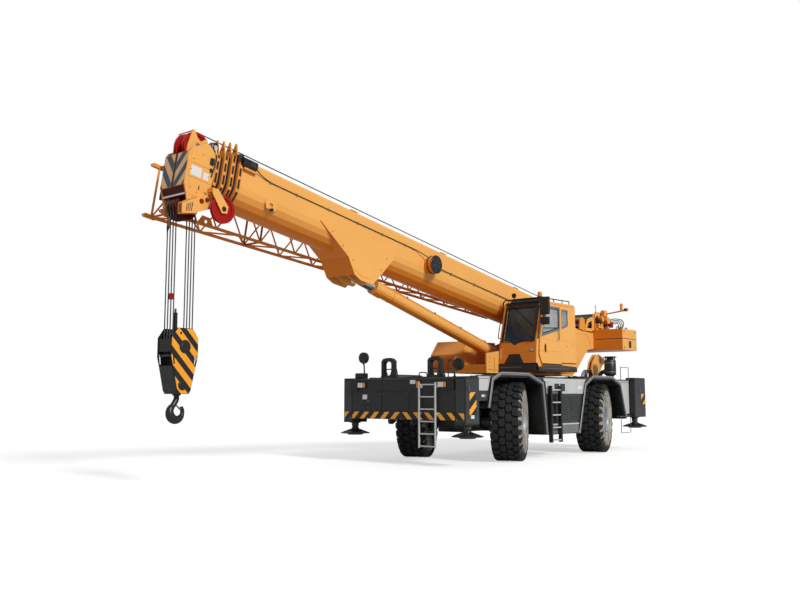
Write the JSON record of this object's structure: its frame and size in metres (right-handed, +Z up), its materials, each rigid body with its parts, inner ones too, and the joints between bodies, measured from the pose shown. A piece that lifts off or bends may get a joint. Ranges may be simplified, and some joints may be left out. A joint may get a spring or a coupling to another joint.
{
  "type": "rough terrain crane",
  "caption": "Two-axle rough terrain crane with a nested telescopic boom, side cab, stowed lattice jib, outriggers with jacks, and a hook block hanging on wire rope falls.",
  "frame": {"origin": "bottom centre of the bounding box, on the ground under the parked crane", "axes": "+X forward along the boom, +Y to the cab side (left), +Z up"},
  "size_m": [16.0728, 3.97, 6.2461],
  "materials": {
    "painted_orange": "gloss",
    "painted_charcoal": "satin",
    "painted_silver": "satin",
    "painted_rim": "satin",
    "painted_red": "satin",
    "steel": "satin",
    "chrome": "polished",
    "tyre": "matte",
    "glass": "gloss",
    "seat_plastic": "matte"
  },
  "bodies": {
    "carrier": {"carrier_frame": "painted_charcoal", "slew_ring": "steel", "deck_left": "painted_charcoal", "deck_right": "painted_charcoal", "front_outrigger_box": "painted_charcoal", "rear_outrigger_box": "painted_charcoal", "engine": "steel", "engine_hood": "painted_charcoal", "air_cleaner": "painted_charcoal", "ladder_front": "painted_silver", "ladder_left": "painted_charcoal", "front_axle": "steel", "rear_axle": "steel"},
    "superstructure": {"turntable": "painted_orange", "cab_shell": "painted_orange", "cab_interior": "seat_plastic", "windshield": "glass", "rear_window": "glass", "quarter_window": "glass", "right_window": "glass", "counterweight": "painted_orange", "winches": "painted_orange", "right_cabinet": "painted_orange"},
    "door": {"cab_door": "painted_orange", "door_glass": "glass"},
    "boom": {"boom_base": "painted_orange", "stowed_jib": "painted_orange"},
    "section_2": {"boom_section_2": "painted_orange"},
    "section_3": {"boom_section_3": "painted_orange"},
    "section_4": {"boom_section_4": "painted_orange"},
    "tip": {"boom_tip": "painted_orange", "upper_sheaves": "painted_red", "aux_sheave": "painted_red"},
    "falls": {"sheaves_and_falls": "steel", "hook_block": "painted_charcoal"},
    "hook": {"hook": "painted_charcoal"},
    "luff_barrel": {"luff_barrel": "painted_orange"},
    "luff_rod": {"luff_rod": "chrome"},
    "knuckle_front_left": {"knuckle_front_left": "steel"},
    "wheel_front_left": {"wheel_front_left": "painted_rim", "tyre_front_left": "tyre"},
    "beam_front_left": {"outrigger_beam_front_left": "painted_charcoal"},
    "jack_front_left": {"jack_front_left": "steel"},
    "knuckle_front_right": {"knuckle_front_right": "steel"},
    "wheel_front_right": {"wheel_front_right": "painted_rim", "tyre_front_right": "tyre"},
    "beam_front_right": {"outrigger_beam_front_right": "painted_charcoal"},
    "jack_front_right": {"jack_front_right": "steel"},
    "knuckle_rear_left": {"knuckle_rear_left": "steel"},
    "wheel_rear_left": {"wheel_rear_left": "painted_rim", "tyre_rear_left": "tyre"},
    "beam_rear_left": {"outrigger_beam_rear_left": "painted_charcoal"},
    "jack_rear_left": {"jack_rear_left": "steel"},
    "knuckle_rear_right": {"knuckle_rear_right": "steel"},
    "wheel_rear_right": {"wheel_rear_right": "painted_rim", "tyre_rear_right": "tyre"},
    "beam_rear_right": {"outrigger_beam_rear_right": "painted_charcoal"},
    "jack_rear_right": {"jack_rear_right": "steel"}
  },
  "joints": [
    {"name": "slew", "type": "hinge", "parent": "carrier", "child": "superstructure", "pos_m": [-3.38636, 0, 2.08], "axis": [0, 0, 1], "continuous": true},
    {"name": "luff", "type": "hinge", "parent": "superstructure", "child": "boom", "pos_m": [-5.28636, 0, 3.28], "axis": [0, -1, 0], "range_deg": [-9, 71]},
    {"name": "luff_barrel_swing", "type": "hinge", "parent": "superstructure", "child": "luff_barrel", "pos_m": [-3.68636, 0, 2.25], "axis": [0, -1, 0], "range_deg": [-9.4, 73.9]},
    {"name": "luff_rod_slide", "type": "slide", "parent": "luff_barrel", "child": "luff_rod", "axis": [0.9656, 0, 0.2599], "range_m": [-0.257, 2.022]},
    {"name": "telescope_2", "type": "slide", "parent": "boom", "child": "section_2", "axis": [0.9877, 0, 0.1564], "range_m": [0, 8.4]},
    {"name": "telescope_3", "type": "slide", "parent": "section_2", "child": "section_3", "axis": [0.9877, 0, 0.1564], "range_m": [0, 8.4]},
    {"name": "telescope_4", "type": "slide", "parent": "section_3", "child": "section_4", "axis": [0.9877, 0, 0.1564], "range_m": [0, 8.4]},
    {"name": "telescope_5", "type": "slide", "parent": "section_4", "child": "tip", "axis": [0.9877, 0, 0.1564], "range_m": [0, 8.4]},
    {"name": "hook_swing", "type": "hinge", "parent": "tip", "child": "falls", "pos_m": [7.70588, 0, 4.83154], "axis": [0, 1, 0], "range_deg": [-9, 71]},
    {"name": "hook_swivel", "type": "hinge", "parent": "falls", "child": "hook", "pos_m": [7.70588, 0, 1.57154], "axis": [0, 0, 1], "continuous": true},
    {"name": "door_slide", "type": "slide", "parent": "superstructure", "child": "door", "axis": [-1, 0, 0], "range_m": [0, 0.7]},
    {"name": "steer_front_left", "type": "hinge", "parent": "carrier", "child": "knuckle_front_left", "pos_m": [-0.78636, 0.92, 0.935], "axis": [0, 0, 1], "range_deg": [-53, 3]},
    {"name": "spin_front_left", "type": "hinge", "parent": "knuckle_front_left", "child": "wheel_front_left", "pos_m": [-0.95329, 1.27799, 0.935], "axis": [-0.4226, 0.9063, 0], "continuous": true},
    {"name": "outrigger_front_left", "type": "slide", "parent": "carrier", "child": "beam_front_left", "axis": [0, 1, 0], "range_m": [0, 2]},
    {"name": "jack_front_left", "type": "slide", "parent": "beam_front_left", "child": "jack_front_left", "axis": [0, 0, -1], "range_m": [0, 0.72]},
    {"name": "steer_front_right", "type": "hinge", "parent": "carrier", "child": "knuckle_front_right", "pos_m": [-0.78636, -0.92, 0.935], "axis": [0, 0, 1], "range_deg": [-53, 3]},
    {"name": "spin_front_right", "type": "hinge", "parent": "knuckle_front_right", "child": "wheel_front_right", "pos_m": [-0.61943, -1.27799, 0.935], "axis": [-0.4226, 0.9063, 0], "continuous": true},
    {"name": "outrigger_front_right", "type": "slide", "parent": "carrier", "child": "beam_front_right", "axis": [0, -1, 0], "range_m": [0, 2]},
    {"name": "jack_front_right", "type": "slide", "parent": "beam_front_right", "child": "jack_front_right", "axis": [0, 0, -1], "range_m": [0, 0.72]},
    {"name": "steer_rear_left", "type": "hinge", "parent": "carrier", "child": "knuckle_rear_left", "pos_m": [-5.17636, 0.92, 0.935], "axis": [0, 0, 1], "range_deg": [-44, 12]},
    {"name": "spin_rear_left", "type": "hinge", "parent": "knuckle_rear_left", "child": "wheel_rear_left", "pos_m": [-5.28524, 1.2997, 0.935], "axis": [-0.2756, 0.9613, 0], "continuous": true},
    {"name": "outrigger_rear_left", "type": "slide", "parent": "carrier", "child": "beam_rear_left", "axis": [0, 1, 0], "range_m": [0, 2]},
    {"name": "jack_rear_left", "type": "slide", "parent": "beam_rear_left", "child": "jack_rear_left", "axis": [0, 0, -1], "range_m": [0, 0.72]},
    {"name": "steer_rear_right", "type": "hinge", "parent": "carrier", "child": "knuckle_rear_right", "pos_m": [-5.17636, -0.92, 0.935], "axis": [0, 0, 1], "range_deg": [-44, 12]},
    {"name": "spin_rear_right", "type": "hinge", "parent": "knuckle_rear_right", "child": "wheel_rear_right", "pos_m": [-5.06748, -1.2997, 0.935], "axis": [-0.2756, 0.9613, 0], "continuous": true},
    {"name": "outrigger_rear_right", "type": "slide", "parent": "carrier", "child": "beam_rear_right", "axis": [0, -1, 0], "range_m": [0, 2]},
    {"name": "jack_rear_right", "type": "slide", "parent": "beam_rear_right", "child": "jack_rear_right", "axis": [0, 0, -1], "range_m": [0, 0.72]}
  ],
  "couplings": [
    {"joint": "luff_barrel_swing", "follows": "luff", "ratio": 1.04},
    {"joint": "luff_rod_slide", "follows": "luff", "m_per_rad": 1.631},
    {"joint": "telescope_3", "follows": "telescope_2", "ratio": 1},
    {"joint": "telescope_4", "follows": "telescope_2", "ratio": 1},
    {"joint": "telescope_5", "follows": "telescope_2", "ratio": 1},
    {"joint": "steer_front_right", "follows": "steer_front_left", "ratio": 1},
    {"joint": "steer_rear_right", "follows": "steer_rear_left", "ratio": 1}
  ]
}
